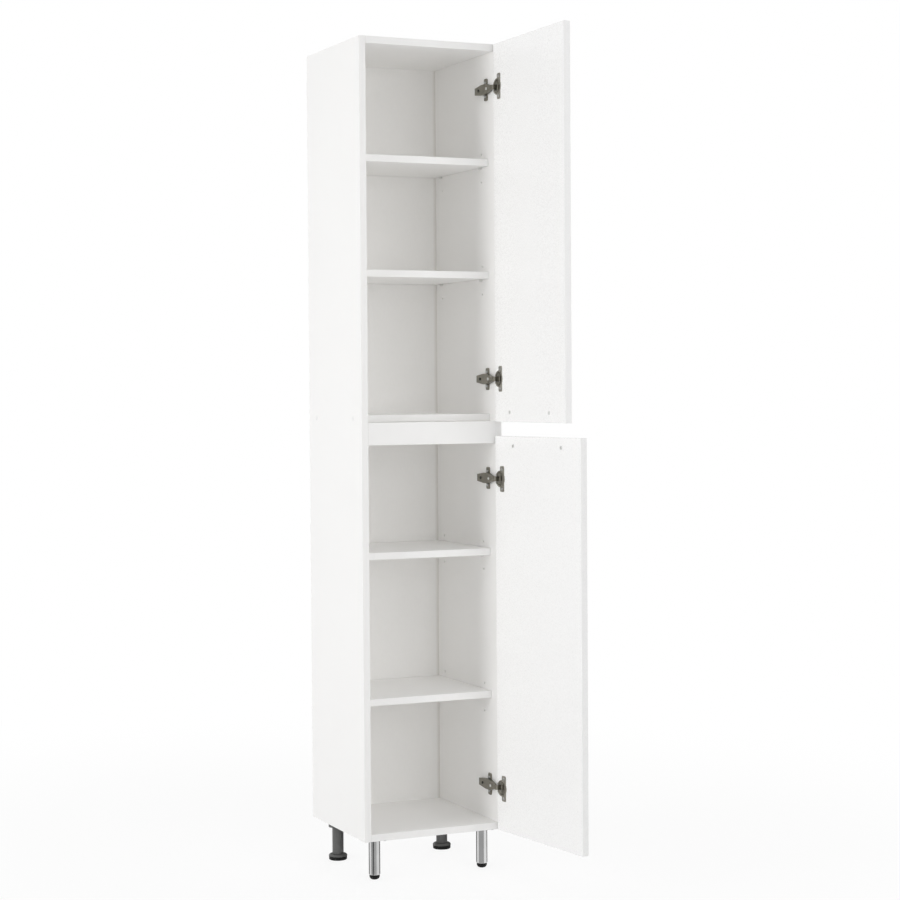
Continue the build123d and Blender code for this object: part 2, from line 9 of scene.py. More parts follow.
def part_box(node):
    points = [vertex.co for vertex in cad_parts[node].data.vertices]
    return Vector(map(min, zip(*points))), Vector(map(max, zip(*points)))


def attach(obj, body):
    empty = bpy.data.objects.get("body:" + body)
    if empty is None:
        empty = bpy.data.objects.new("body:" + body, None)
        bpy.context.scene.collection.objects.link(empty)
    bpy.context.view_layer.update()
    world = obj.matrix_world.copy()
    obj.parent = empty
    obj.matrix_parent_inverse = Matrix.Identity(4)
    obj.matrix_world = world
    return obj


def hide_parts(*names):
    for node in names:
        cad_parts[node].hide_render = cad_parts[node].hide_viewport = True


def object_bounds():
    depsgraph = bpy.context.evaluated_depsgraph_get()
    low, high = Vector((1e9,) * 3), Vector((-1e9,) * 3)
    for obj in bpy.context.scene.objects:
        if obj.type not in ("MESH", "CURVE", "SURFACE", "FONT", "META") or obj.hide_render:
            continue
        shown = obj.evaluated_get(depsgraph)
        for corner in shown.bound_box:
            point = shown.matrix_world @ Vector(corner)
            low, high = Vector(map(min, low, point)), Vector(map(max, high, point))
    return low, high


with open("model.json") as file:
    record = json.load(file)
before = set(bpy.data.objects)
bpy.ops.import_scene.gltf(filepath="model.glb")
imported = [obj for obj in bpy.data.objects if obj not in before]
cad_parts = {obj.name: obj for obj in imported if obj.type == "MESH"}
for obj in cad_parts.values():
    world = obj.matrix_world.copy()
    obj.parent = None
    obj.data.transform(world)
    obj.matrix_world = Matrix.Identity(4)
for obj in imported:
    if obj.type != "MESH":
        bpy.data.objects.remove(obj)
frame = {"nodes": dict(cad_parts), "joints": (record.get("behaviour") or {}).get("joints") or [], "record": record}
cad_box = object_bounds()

# A tall white cabinet in metres: +Z up, the front faces -Y, the doors hang on the +X side.

DIFFUSE_BOUNCES = 12
scene = bpy.context.scene
scene.view_settings.view_transform = "Standard"
scene.cycles.diffuse_bounces = DIFFUSE_BOUNCES
nodes = frame["nodes"]
record = frame["record"]

# camera at the photograph's place: yaw from +Y towards +X, pitch down, roll clockwise
CAMERA_AT = (-1.9510, -4.6939, 1.0279)
YAW = math.radians(24.559)
PITCH = math.radians(1.691)
ROLL = math.radians(0.380)
LENS = 83.62
SENSOR = 36.0
VIEW_END = 100

# the world's light, the point that the lamps face, and each lamp's place, size and power in watts
WORLD_LEVEL = 0.48
AIM = (0.0, -0.2, 0.9)
LAMPS = {
    "left_lamp": ((-4.3, -0.8, 1.5), 1.6, 75.0),
    "front_lamp": ((0.75, -4.5, 1.3), 2.0, 34.0),
    "high_lamp": ((0.0, -3.6, 3.4), 2.0, 16.0),
    "rear_lamp": ((3.1, 3.1, 1.6), 2.2, 70.0),
}

# floor: half size, the ring over which it fades into the backdrop, and its share of white inside
FLOOR_HALF = 30.0
FADE_FROM = 0.3
FADE_TO = 2.4
NEAR_GLOW = 0.88
FLOOR_TONES = ((0.90, 0.90, 0.90), (0.92, 0.92, 0.92))
FLOOR_ROUGH = 0.7
FLOOR_CLOUDS = 2.0

# curved glowing cards round the feet, seen only in reflections, that paint light and dark reflection bands on
# them: start and end in degrees from the front, and level
CARD_R = 0.06
CARD_STEPS = 12
GLOWING_REFLECTION_CARDS = {
    "front_left_leg_tube": [(134, 274, 0.005), (-86, -16, 0.85), (-16, 30, 0.47), (30, 47, 0.06),
                            (47, 84, 0.34), (84, 134, 0.90)],
    "front_right_leg_tube": [(134, 274, 0.005), (-86, -16, 0.95), (-16, 84, 0.42), (84, 134, 0.90)],
    "rear_left_foot_base": [(180, 338, 0.005)],
    "rear_right_foot_base": [(180, 338, 0.005)],
}

# colours in linear light
BOARD_WHITE = (0.93, 0.925, 0.915)
# door white: a lighter copy of the board white, painted light on the doors
LIT_DOOR_WHITE = (0.955, 0.954, 0.95)
SHEET_WHITE = (0.93, 0.924, 0.912)
SEAM_GREY = (0.55, 0.54, 0.52)
# grey of the painted shade in the back sheet's corners by the sides
CORNER_SHADE_GREY = (0.76, 0.745, 0.71)
NICKEL = (0.265, 0.252, 0.212)
# flange and bowl nickel: lighter copies of the hinge nickel, painted light on the hinge cups
LIT_FLANGE_NICKEL = (0.40, 0.385, 0.34)
LIT_BOWL_NICKEL = (0.60, 0.585, 0.54)
# near black steel: painted shade on the rear hinge arm screws
SHADED_STEEL = (0.06, 0.06, 0.055)
ZINC = (0.58, 0.585, 0.59)
# the paler zinc: a lighter copy of the zinc, painted light on the handle screws, the front hinge arm screws and
# the shelf pins
LIT_ZINC = (0.88, 0.88, 0.87)
SATIN = (0.60, 0.60, 0.59)
CHROME = (0.78, 0.78, 0.78)
FOOT_GREY = (0.108, 0.108, 0.106)
BLACK = (0.008, 0.008, 0.008)
CAP_WHITE = (0.87, 0.87, 0.86)
BEECH = (0.62, 0.42, 0.24)

# roughness, lowest and highest
BOARD_ROUGH = (0.40, 0.50)
DOOR_ROUGH = (0.24, 0.32)
SHEET_ROUGH = (0.55, 0.68)
NICKEL_ROUGH = (0.26, 0.42)
BOWL_ROUGH = (0.45, 0.60)
STEEL_ROUGH = (0.30, 0.45)
ZINC_ROUGH = (0.22, 0.38)
LIT_ZINC_ROUGH = (0.42, 0.55)
SATIN_ROUGH = (0.28, 0.40)
CHROME_ROUGH = (0.06, 0.16)
FOOT_ROUGH = (0.42, 0.55)
BLACK_ROUGH = (0.50, 0.65)
CAP_ROUGH = (0.35, 0.45)
BEECH_ROUGH = 0.6

# boards: edge bands, greyer for their own tone and for painted shade, seams, and the painted shade in the back
# sheet's corners by the sides
BAND_T = 0.0009
BAND_TONE_AND_SHADE = 0.955
SEAM_T = 0.0002
SEAM_DEPTH = 0.5
# width of the painted corner shade on the back sheet
CORNER_SHADE_W = 0.009

# textures: features a metre, relief in metres, and strengths as shares of one
CLOUDS = 4.0
SPECKS = 900.0
SPECK_DEPTH = 0.04
PEARL = 520.0
PEARL_RELIEF = 0.000006
SHEET_CLOUDS = 3.0
FIBRES = 260.0
FIBRE_DEPTH = 0.05
FIBRE_RELIEF = 0.3
MESH_WAVES = 3600
SHEET_RELIEF = 0.00008
STREAKS = 700.0
FINE_STREAKS = 900.0
STREAK_DEPTH = 0.35
STAINS = 35.0
METAL_RELIEF = 0.00001
PLASTIC_GRAIN = 1400.0
SCUFFS = 60.0
SCUFF_DEPTH = 0.15
PLASTIC_RELIEF = 0.00002
BLACK_SHINE = 0.2
WOOD_GRAIN = 900.0
WOOD_FLECKS = 700.0
FLECK_DEPTH = 0.5
WOOD_RELIEF = 0.00003
FACING = 0.5

# mesh work: weld distance, sharp and flat angles, and steps round a turned shape
WELD = 1e-6
SHARP = math.radians(35)
FLAT = math.radians(0.5)
TURN_STEPS = 40
SCREW_STEPS = 24
GLIDE_STEPS = 56
STUD_STEPS = 32
BASE_STEPS = 64
BASE_ARC_STEPS = 8

# widths of rounded edges, and the thickness of a hinge cup's flange
HANDLE_ROUND = 0.0011
HINGE_ROUND = 0.0004
CUP_ROUND = 0.00025
LEG_PLATE_ROUND = 0.0005
SOCKET_ROUND = 0.0006
CUP_FLANGE_T = 0.0014

# screws: thickness of the head and radius of the shank
HANDLE_SCREW = (0.0018, 0.0020)
CUP_SCREW = (0.0012, 0.0019)
PLATE_SCREW = (0.0020, 0.0019)
ARM_SCREW = (0.0016, 0.0020)
SCREW_PITCH = 0.0014

# screw caps: height of the rim, radius of the stem, and the crown as shares of the radius and the rim
CAP_RIM = 0.0008
CAP_STEM_R = 0.0019
CAP_CROWN = ((0, 0), (0.5, 0.08), (0.82, 0.3), (0.95, 0.55), (1, 0.9), (1, 1))


class Recipe:
    """A material in the making, with short calls for the nodes that the finishes share."""

    def __init__(self, name, rough=0.5, metal=0.0):
        self.material = bpy.data.materials.new(name)
        self.material.use_nodes = True
        self.tree = self.material.node_tree
        self.shader = self.tree.nodes["Principled BSDF"]
        self.shader.inputs["Roughness"].default_value = rough
        self.shader.inputs["Metallic"].default_value = metal
        self.coords = self.tree.nodes.new("ShaderNodeTexCoord")
        self.place = self.coords.outputs["Object"]
        self.facing = self.coords.outputs["Normal"]

    def add(self, kind, **settings):
        """A node with its settings."""
        node = self.tree.nodes.new(kind)
        for name, value in settings.items():
            setattr(node, name, value)
        return node

    def set(self, node, socket, value):
        """Links an output to a socket, or writes a plain value on it."""
        if isinstance(value, bpy.types.NodeSocket):
            self.tree.links.new(value, node.inputs[socket])
        else:
            node.inputs[socket].default_value = value

    def math(self, operation, *values):
        """One arithmetic step."""
        node = self.add("ShaderNodeMath", operation=operation)
        for index, value in enumerate(values):
            self.set(node, index, value)
        return node.outputs[0]

    def split(self, vector):
        """The three parts of a vector."""
        node = self.add("ShaderNodeSeparateXYZ")
        self.set(node, 0, vector)
        return node.outputs

    def noise(self, scale, detail=2.0, stretch=(1, 1, 1), place=None):
        """Noise at so many features a metre, drawn out along an axis by a small stretch value."""
        mapping = self.add("ShaderNodeMapping")
        mapping.inputs["Scale"].default_value = stretch
        self.set(mapping, "Vector", place or self.place)
        node = self.add("ShaderNodeTexNoise")
        node.inputs["Scale"].default_value = scale
        node.inputs["Detail"].default_value = detail
        self.set(node, "Vector", mapping.outputs[0])
        return node.outputs["Fac"]

    def spread(self, value, low, high, start=0.25, end=0.75):
        """A value brought from one range to another."""
        node = self.add("ShaderNodeMapRange")
        self.set(node, "Value", value)
        node.inputs["From Min"].default_value = start
        node.inputs["From Max"].default_value = end
        node.inputs["To Min"].default_value = low
        node.inputs["To Max"].default_value = high
        return node.outputs[0]

    def mix(self, factor, first, second):
        """Two colours mixed."""
        node = self.add("ShaderNodeMix", data_type="RGBA")
        self.set(node, "Factor", factor)
        for socket, colour in ((6, first), (7, second)):
            self.set(node, socket, colour if isinstance(colour, bpy.types.NodeSocket) else (*colour, 1))
        return node.outputs[2]

    def colour(self, value):
        """Gives the shader its colour."""
        self.set(self.shader, "Base Color", value)

    def rough(self, value):
        """Gives the shader its roughness."""
        self.set(self.shader, "Roughness", value)

    def bump(self, height, distance):
        """Gives the shader a fine relief of so many metres."""
        node = self.add("ShaderNodeBump")
        node.inputs["Strength"].default_value = 1.0
        node.inputs["Distance"].default_value = distance
        self.set(node, "Height", height)
        self.set(self.shader, "Normal", node.outputs[0])

    def line(self, along, where, width):
        """One where a coordinate lies on a thin line, and nought elsewhere."""
        away = self.math("ABSOLUTE", self.math("SUBTRACT", along, where))
        return self.math("LESS_THAN", away, width / 2)


def shade(colour, factor):
    """A colour made darker or lighter."""
    return tuple(channel * factor for channel in colour)


def faced_board(recipe, white, shaded_band, seam):
    """Pearl-textured white facing, clouded a little, with edge bands greyer by their own tone and by painted
    shade, and fine grey seams.
    """
    clouds = recipe.spread(recipe.noise(CLOUDS, 3.0), 0, 1)
    specks = recipe.spread(recipe.noise(SPECKS, 1.0), 0, 1, 0.62, 0.70)
    face = recipe.mix(clouds, shade(white, 0.99), white)
    # edge bands greyer: partly their own tone, partly painted shade where the front edges catch less light
    face = recipe.mix(shaded_band, face, shade(white, BAND_TONE_AND_SHADE))
    face = recipe.mix(recipe.math("MULTIPLY", specks, SPECK_DEPTH), face, SEAM_GREY)
    recipe.colour(recipe.mix(recipe.math("MULTIPLY", seam, SEAM_DEPTH), face, SEAM_GREY))
    pearl = recipe.noise(PEARL, 2.0)
    recipe.bump(pearl, PEARL_RELIEF)
    return pearl


def board_finish(name, front, ends=None):
    """Satin white board, banded along a front edge at the given depth, the band darkened partly by painted shade,
    with a seam at each butted end.
    """
    recipe = Recipe(name)
    across, along, _ = recipe.split(recipe.place)
    shaded_band = recipe.math("LESS_THAN", along, front + BAND_T)
    seam = recipe.line(along, front + BAND_T, SEAM_T)
    if ends:
        butted = recipe.math("GREATER_THAN", recipe.math("ABSOLUTE", across), ends - SEAM_T)
        seam = recipe.math("MAXIMUM", seam, butted)
    pearl = faced_board(recipe, BOARD_WHITE, shaded_band, seam)
    recipe.rough(recipe.spread(pearl, *BOARD_ROUGH))
    return recipe.material


def door_finish(name, joint, leaf):
    """Semi-gloss white door, banded round all four edges, the bands darkened partly by painted shade; drawn in the
    closed door's own plane.
    """
    recipe = Recipe(name)
    turn = recipe.add("ShaderNodeVectorRotate", rotation_type="Z_AXIS")
    turn.inputs["Center"].default_value = joint["pos_m"]
    turn.inputs["Angle"].default_value = math.radians(joint["range_deg"][0])
    recipe.set(turn, "Vector", recipe.place)
    across, _, height = recipe.split(turn.outputs[0])
    low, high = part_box(leaf)
    inner_half = closed_half(leaf, joint) - BAND_T
    inner_height = (high.z - low.z) / 2 - BAND_T
    sideways = recipe.math("ABSOLUTE", across)
    upward = recipe.math("ABSOLUTE", recipe.math("SUBTRACT", height, (high.z + low.z) / 2))
    shaded_band = recipe.math("MAXIMUM", recipe.math("GREATER_THAN", sideways, inner_half),
                       recipe.math("GREATER_THAN", upward, inner_height))
    seam = recipe.math("MAXIMUM", recipe.line(sideways, inner_half, SEAM_T),
                       recipe.line(upward, inner_height, SEAM_T))
    # the doors' lighter white is painted light
    pearl = faced_board(recipe, LIT_DOOR_WHITE, shaded_band, seam)
    recipe.rough(recipe.spread(pearl, *DOOR_ROUGH))
    return recipe.material


def closed_half(leaf, joint):
    """Half the width of a door, from its corners when it is closed."""
    turn = Matrix.Rotation(math.radians(joint["range_deg"][0]), 4, "Z")
    centre = Vector(joint["pos_m"])
    return max((turn @ (vert.co - centre) + centre).x for vert in nodes[leaf].data.vertices)


def sheet_finish():
    """Matt white lacquer on hardboard, with the pressed mesh of its rear face, and painted shade greying its front
    face towards each side wall.
    """
    recipe = Recipe("white_hardboard")
    clouds = recipe.spread(recipe.noise(SHEET_CLOUDS, 3.0), 0, 1)
    fibres = recipe.noise(FIBRES, 3.0, stretch=(1, 1, 0.35))
    tone = recipe.mix(clouds, shade(SHEET_WHITE, 0.985), SHEET_WHITE)
    tone = recipe.mix(recipe.spread(fibres, 0, FIBRE_DEPTH), tone, SEAM_GREY)
    x, _, z = recipe.split(recipe.place)
    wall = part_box("right_side")[0].x
    # painted shade: the front face greys over the last stretch towards each side wall, where the corner lies in
    # shade
    joint = recipe.spread(recipe.math("ABSOLUTE", x), 0, 1, wall - CORNER_SHADE_W, wall)
    backward = recipe.split(recipe.facing)[1]
    inside = recipe.math("LESS_THAN", backward, -FACING)
    recipe.colour(recipe.mix(recipe.math("MULTIPLY", joint, inside), tone, CORNER_SHADE_GREY))
    waves_x = recipe.math("SINE", recipe.math("MULTIPLY", x, MESH_WAVES))
    waves_z = recipe.math("SINE", recipe.math("MULTIPLY", z, MESH_WAVES))
    rear = recipe.math("GREATER_THAN", backward, FACING)
    pressed = recipe.math("MULTIPLY", recipe.math("MULTIPLY", waves_x, waves_z), rear)
    relief = recipe.math("ADD", pressed, recipe.math("MULTIPLY", fibres, FIBRE_RELIEF))
    recipe.bump(relief, SHEET_RELIEF)
    recipe.rough(recipe.spread(fibres, *SHEET_ROUGH))
    return recipe.material


def metal_finish(name, colour, rough, stretch=(1, 1, 1), scale=STREAKS):
    """Plated or brushed metal, with fine streaks along the axis whose stretch value is small."""
    recipe = Recipe(name, metal=1.0)
    streaks = recipe.noise(scale, 3.0, stretch)
    stains = recipe.noise(STAINS, 3.0)
    tone = recipe.mix(recipe.spread(stains, 0, 1), shade(colour, 0.88), colour)
    recipe.colour(recipe.mix(recipe.spread(streaks, 0, STREAK_DEPTH), tone, shade(colour, 0.75)))
    recipe.rough(recipe.spread(streaks, *rough))
    recipe.bump(streaks, METAL_RELIEF)
    return recipe.material


def plastic_finish(name, colour, rough, shine=0.5):
    """Moulded plastic with a fine spark-eroded grain."""
    recipe = Recipe(name)
    recipe.shader.inputs["Specular IOR Level"].default_value = shine
    grain = recipe.noise(PLASTIC_GRAIN, 2.0)
    scuffs = recipe.spread(recipe.noise(SCUFFS, 4.0), 0, 1, 0.45, 0.75)
    tone = recipe.mix(recipe.spread(grain, 0, 1), shade(colour, 0.85), shade(colour, 1.1))
    recipe.colour(recipe.mix(recipe.math("MULTIPLY", scuffs, SCUFF_DEPTH), tone, shade(colour, 1.5)))
    recipe.rough(recipe.spread(grain, *rough))
    recipe.bump(grain, PLASTIC_RELIEF)
    return recipe.material


def wood_finish():
    """Beech dowels, with grain and short dark flecks along X."""
    recipe = Recipe("beech", rough=BEECH_ROUGH)
    grain = recipe.noise(WOOD_GRAIN, 3.0, stretch=(0.06, 1, 1))
    flecks = recipe.spread(recipe.noise(WOOD_FLECKS, 1.0, stretch=(0.3, 1, 1)), 0, 1, 0.62, 0.72)
    tone = recipe.mix(recipe.spread(grain, 0, 1), shade(BEECH, 0.8), BEECH)
    recipe.colour(recipe.mix(recipe.math("MULTIPLY", flecks, FLECK_DEPTH), tone, shade(BEECH, 0.5)))
    recipe.bump(grain, WOOD_RELIEF)
    return recipe.material


def body_of(node):
    """The body that a CAD node rides on."""
    return next(body for body, members in record["behaviour"]["bodies"].items() if node in members)


def stand_in(name, form, node, *materials):
    """Turns a mesh in the making into a piece that stands for one CAD node."""
    mesh = bpy.data.meshes.new(name)
    bmesh.ops.recalc_face_normals(form, faces=form.faces)
    for face in form.faces:
        face.smooth = True
    form.to_mesh(mesh)
    form.free()
    mesh.set_sharp_from_angle(angle=SHARP)
    for material in materials:
        mesh.materials.append(material)
    piece = bpy.data.objects.new(name, mesh)
    scene.collection.objects.link(piece)
    piece.modifiers.new("even_shading", "WEIGHTED_NORMAL").keep_sharp = True
    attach(piece, body_of(node))
    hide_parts(node)
    return piece


def welded(node):
    """A CAD node's mesh with its split vertices joined and its flat faces made whole."""
    form = bmesh.new()
    form.from_mesh(nodes[node].data)
    bmesh.ops.remove_doubles(form, verts=form.verts, dist=WELD)
    bmesh.ops.dissolve_limit(form, angle_limit=FLAT, verts=form.verts, edges=form.edges)
    return form


def rounded(node, width):
    """A CAD node's mesh with its sharp edges rounded over."""
    form = welded(node)
    sharp = [edge for edge in form.edges if edge.is_manifold and edge.calc_face_angle(0) > SHARP]
    bmesh.ops.bevel(form, geom=sharp, offset=width, segments=2, profile=0.5, affect="EDGES",
                    clamp_overlap=True)
    return form


def soften(node, width, material):
    """Stands in for a CAD node with its sharp edges rounded over."""
    stand_in(node + "_rounded", rounded(node, width), node, material)


def dress_cup(node, inward, flange, bowl):
    """Hinge cup with one finish on its flange and another down in its bowl, both lighter copies of the hinge
    nickel: painted light.
    """
    form = rounded(node, CUP_ROUND)
    floor = max(vert.co.dot(inward) for vert in form.verts) - CUP_FLANGE_T
    for face in form.faces:
        face.material_index = int(face.calc_center_median().dot(inward) < floor)
    stand_in(node + "_rounded", form, node, flange, bowl)


def turned(form, profile, steps=TURN_STEPS, material=0):
    """Adds a turned shape about Z from points of radius and height, first and last on the axis."""
    rings = []
    for radius, height in profile:
        if radius < WELD:
            rings.append([form.verts.new((0, 0, height))])
            continue
        angles = (2 * math.pi * step / steps for step in range(steps))
        rings.append([form.verts.new((radius * math.cos(a), radius * math.sin(a), height)) for a in angles])
    for lower, upper in zip(rings, rings[1:]):
        for step in range(steps):
            after = (step + 1) % steps
            corners = [lower[step % len(lower)], lower[after % len(lower)],
                       upper[after % len(upper)], upper[step % len(upper)]]
            face = form.faces.new(dict.fromkeys(corners))
            face.material_index = material


def arc(centre_r, centre_z, radius, start, end, steps=6):
    """Points of an arc in a profile, by angles in degrees from the outward direction."""
    turns = (math.radians(start + (end - start) * step / steps) for step in range(steps + 1))
    return [(centre_r + radius * math.cos(t), centre_z + radius * math.sin(t)) for t in turns]


def ridged(radius, low, high, pitch, depth):
    """Profile points of a threaded stretch, drawn as ridges a pitch apart."""
    count = int((high - low) / pitch)
    crest_start = 0.35 * pitch
    crest_end = 0.6 * pitch
    points = []
    for turn in range(count):
        base = low + turn * pitch
        points += [(radius - depth, base), (radius, base + crest_start), (radius, base + crest_end)]
    return points + [(radius - depth, low + count * pitch)]


def solids_of(node, out):
    """Each separate solid of a node: its middle line, its reach along a direction, and its half width."""
    form = bmesh.new()
    form.from_mesh(nodes[node].data)
    bmesh.ops.remove_doubles(form, verts=form.verts, dist=WELD)
    out = Vector(out).normalized()
    seen = set()
    found = []
    for start in form.verts:
        if start in seen:
            continue
        seen.add(start)
        group = [start]
        for vert in group:
            for edge in vert.link_edges:
                other = edge.other_vert(vert)
                if other not in seen:
                    seen.add(other)
                    group.append(other)
        reach = [vert.co.dot(out) for vert in group]
        flat = [vert.co - out * vert.co.dot(out) for vert in group]
        middle = Vector([(min(p[k] for p in flat) + max(p[k] for p in flat)) / 2 for k in range(3)])
        half = max((p - middle).length for p in flat)
        found.append((middle, min(reach), max(reach), half))
    form.free()
    return found


def set_on(form, shape, middle, top, out):
    """Copies a small shape, whose top is at the origin, to a place on a line."""
    turn = Vector(out).to_track_quat("Z", "Y").to_matrix().to_4x4()
    place = Matrix.Translation(middle + Vector(out) * top) @ turn
    mesh = shape.copy()
    bmesh.ops.transform(mesh, matrix=place, verts=mesh.verts)
    part = bpy.data.meshes.new("part")
    mesh.to_mesh(part)
    mesh.free()
    form.from_mesh(part)
    bpy.data.meshes.remove(part)


def cut_cross(shape, radius, depth):
    """Cuts a cross recess, narrower at its bottom, into the top of a screw."""
    bottom_share = 0.55
    blade_share = 0.42
    body = bpy.data.meshes.new("screw")
    shape.to_mesh(body)
    shape.free()
    tool = bmesh.new()
    for turn in (0, 90):
        blade = bmesh.ops.create_cube(tool, size=1.0)["verts"]
        for vert in blade:
            taper = 1.0 if vert.co.z > 0 else bottom_share
            along = vert.co.x * 2 * radius * taper
            across = vert.co.y * radius * blade_share
            vert.co = Vector((along, across, vert.co.z * 2 * depth))
        quarter = Matrix.Rotation(math.radians(turn), 3, "Z")
        bmesh.ops.rotate(tool, cent=(0, 0, 0), matrix=quarter, verts=blade)
    cutter = bpy.data.meshes.new("cross")
    tool.to_mesh(cutter)
    tool.free()
    screw = bpy.data.objects.new("screw", body)
    cross = bpy.data.objects.new("cross", cutter)
    for item in (screw, cross):
        scene.collection.objects.link(item)
    cut = screw.modifiers.new("recess", "BOOLEAN")
    cut.operation = "DIFFERENCE"
    cut.solver = "EXACT"
    cut.use_self = True
    cut.object = cross
    bpy.context.view_layer.update()
    result = bmesh.new()
    result.from_mesh(screw.evaluated_get(bpy.context.evaluated_depsgraph_get()).to_mesh())
    for item in (screw, cross):
        bpy.data.objects.remove(item)
    bpy.data.meshes.remove(body)
    bpy.data.meshes.remove(cutter)
    return result


def screw_shape(head_r, head_t, shank_r, length):
    """A pan-head screw with a cross recess and a pointed, threaded shank, its top at the origin."""
    shape = bmesh.new()
    dome_r = 0.45 * head_t
    point = 2.5 * shank_r
    thread = 0.25 * shank_r
    recess_r = 0.55 * head_r
    recess_t = 0.55 * head_t
    dome = arc(head_r - dome_r, -dome_r, dome_r, 90, 0)
    shank = ridged(shank_r, -length + point, -head_t - shank_r, SCREW_PITCH, thread)
    profile = [(0, 0)] + dome + [(head_r, -head_t), (shank_r, -head_t)] + shank[::-1] + [(0, -length)]
    turned(shape, profile, SCREW_STEPS)
    return cut_cross(shape, recess_r, recess_t)


def dress_screws(node, out, size, *materials):
    """Stands in for a group of alike screws; a second material is for those nearer the back."""
    found = solids_of(node, out)
    _, low, high, head_r = found[0]
    half_way = sum(middle.y for middle, _, _, _ in found) / len(found)
    shape = screw_shape(head_r, *size, high - low)
    form = bmesh.new()
    for middle, _, top, _ in found:
        for face in shape.faces:
            face.material_index = int(len(materials) > 1 and middle.y > half_way)
        set_on(form, shape, middle, top, out)
    shape.free()
    stand_in(node + "_modelled", form, node, *materials)


def split_sides(node):
    """The solids of a node that stands on both sides, each with its own outward direction."""
    for middle, low, high, half in solids_of(node, (1, 0, 0)):
        side = 1 if low + high > 0 else -1
        ends = sorted((side * low, side * high))
        yield Vector((side, 0, 0)), middle, ends[0], ends[1], half


def dress_pins(node, material):
    """Shelf pins with rounded ends and a ring groove half way along."""
    form = bmesh.new()
    for out, middle, low, high, half in split_sides(node):
        length = high - low
        end = 0.3 * half
        groove_r = 0.88 * half
        groove = (-0.50 * length, -0.52 * length, -0.54 * length)
        shape = bmesh.new()
        profile = [(0, 0)] + arc(half - end, -end, end, 90, 0)
        profile += [(half, groove[0]), (groove_r, groove[1]), (half, groove[2])]
        profile += arc(half - end, end - length, end, 0, -90) + [(0, -length)]
        turned(shape, profile, SCREW_STEPS)
        set_on(form, shape, middle, -low, -out)
        shape.free()
    stand_in(node + "_modelled", form, node, material)


def dress_caps(node, material):
    """Screw caps with a low dome, a rounded rim and the stem behind."""
    form = bmesh.new()
    for out, middle, low, high, half in split_sides(node):
        length = high - low
        shape = bmesh.new()
        crown = [(share * half, -drop * CAP_RIM) for share, drop in CAP_CROWN]
        stem = [(CAP_STEM_R, -CAP_RIM), (CAP_STEM_R, -length), (0, -length)]
        turned(shape, crown + stem)
        set_on(form, shape, middle, high, out)
        shape.free()
    stand_in(node + "_modelled", form, node, material)


def dress_glide(node, plastic, steel):
    """Front glide with a rounded sole, on a threaded stud."""
    low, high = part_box(node)
    middle = (low + high) / 2
    radius = (high.x - low.x) / 2
    shoulder = low.z + 0.011
    round_r = 0.008
    hollow = 0.0006
    chamfer = 0.0006
    stud_r = 0.004
    tip = 0.002
    pitch = 0.00125
    thread = 0.0005
    tip_r = 0.75 * stud_r
    flat = radius - round_r
    hollow_r = 0.5 * flat
    tread_r = 0.7 * flat
    form = bmesh.new()
    sole = [(0, low.z + hollow), (hollow_r, low.z + hollow), (tread_r, low.z)]
    cup = sole + arc(flat, low.z + round_r, round_r, -90, 0)
    cup += [(radius, shoulder - chamfer), (radius - chamfer, shoulder), (0, shoulder)]
    turned(form, cup, GLIDE_STEPS)
    stud = [(0, shoulder)] + ridged(stud_r, shoulder, high.z - tip, pitch, thread)
    turned(form, stud + [(tip_r, high.z), (0, high.z)], STUD_STEPS, 1)
    bmesh.ops.translate(form, vec=(middle.x, middle.y, 0), verts=form.verts)
    stand_in(node + "_modelled", form, node, plastic, steel)


def dress_base(node, plastic, shaded_sole):
    """Rear foot base with a rounded top, a black lower band of painted shade on its side and sole, and a coarse
    threaded stem.
    """
    low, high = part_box(node)
    middle = (low + high) / 2
    radius = (high.x - low.x) / 2
    top = low.z + 0.014
    round_r = 0.005
    lip = 0.0005
    seam = low.z + 0.0085
    sole_r = radius - 0.0006
    side_r = radius - 0.0008
    tread_r = radius - 0.0022
    tread_t = 0.0012
    stem_r = 0.009
    tip = 0.002
    tip_r = 0.85 * stem_r
    pitch = 0.0032
    thread = 0.0012
    form = bmesh.new()
    # the black lower band up to the seam is painted shade: the foot's upright side darker than its lit top
    pad = [(0, low.z), (tread_r, low.z), (side_r, low.z + tread_t), (sole_r, seam), (0, seam)]
    turned(form, pad, BASE_STEPS, 1)
    disc = [(0, seam), (sole_r, seam), (radius, seam + lip)]
    disc += arc(radius - round_r, top - round_r, round_r, 0, 90, BASE_ARC_STEPS)
    turned(form, disc + [(0, top)], BASE_STEPS)
    stem = [(0, top)] + ridged(stem_r, top, high.z - tip, pitch, thread)
    turned(form, stem + [(tip_r, high.z), (0, high.z)])
    bmesh.ops.translate(form, vec=(middle.x, middle.y, 0), verts=form.verts)
    stand_in(node + "_modelled", form, node, plastic, shaded_sole)


def paint(node, material):
    """Gives a carried CAD node its finish."""
    mesh = nodes[node].data
    mesh.materials.clear()
    mesh.materials.append(material)


def add_camera():
    """The photograph's camera, with no shift."""
    data = bpy.data.cameras.new("camera")
    data.sensor_fit = "HORIZONTAL"
    data.sensor_width = SENSOR
    data.lens = LENS
    data.clip_end = VIEW_END
    camera = bpy.data.objects.new("camera", data)
    scene.collection.objects.link(camera)
    forward = Vector((math.sin(YAW) * math.cos(PITCH), math.cos(YAW) * math.cos(PITCH), -math.sin(PITCH)))
    level = Vector((math.cos(YAW), -math.sin(YAW), 0))
    down = forward.cross(level)
    right = level * math.cos(ROLL) + down * math.sin(ROLL)
    up = forward.cross(right) * -1
    turn = Matrix((right, up, -forward)).transposed().to_4x4()
    camera.matrix_world = Matrix.Translation(CAMERA_AT) @ turn
    scene.camera = camera


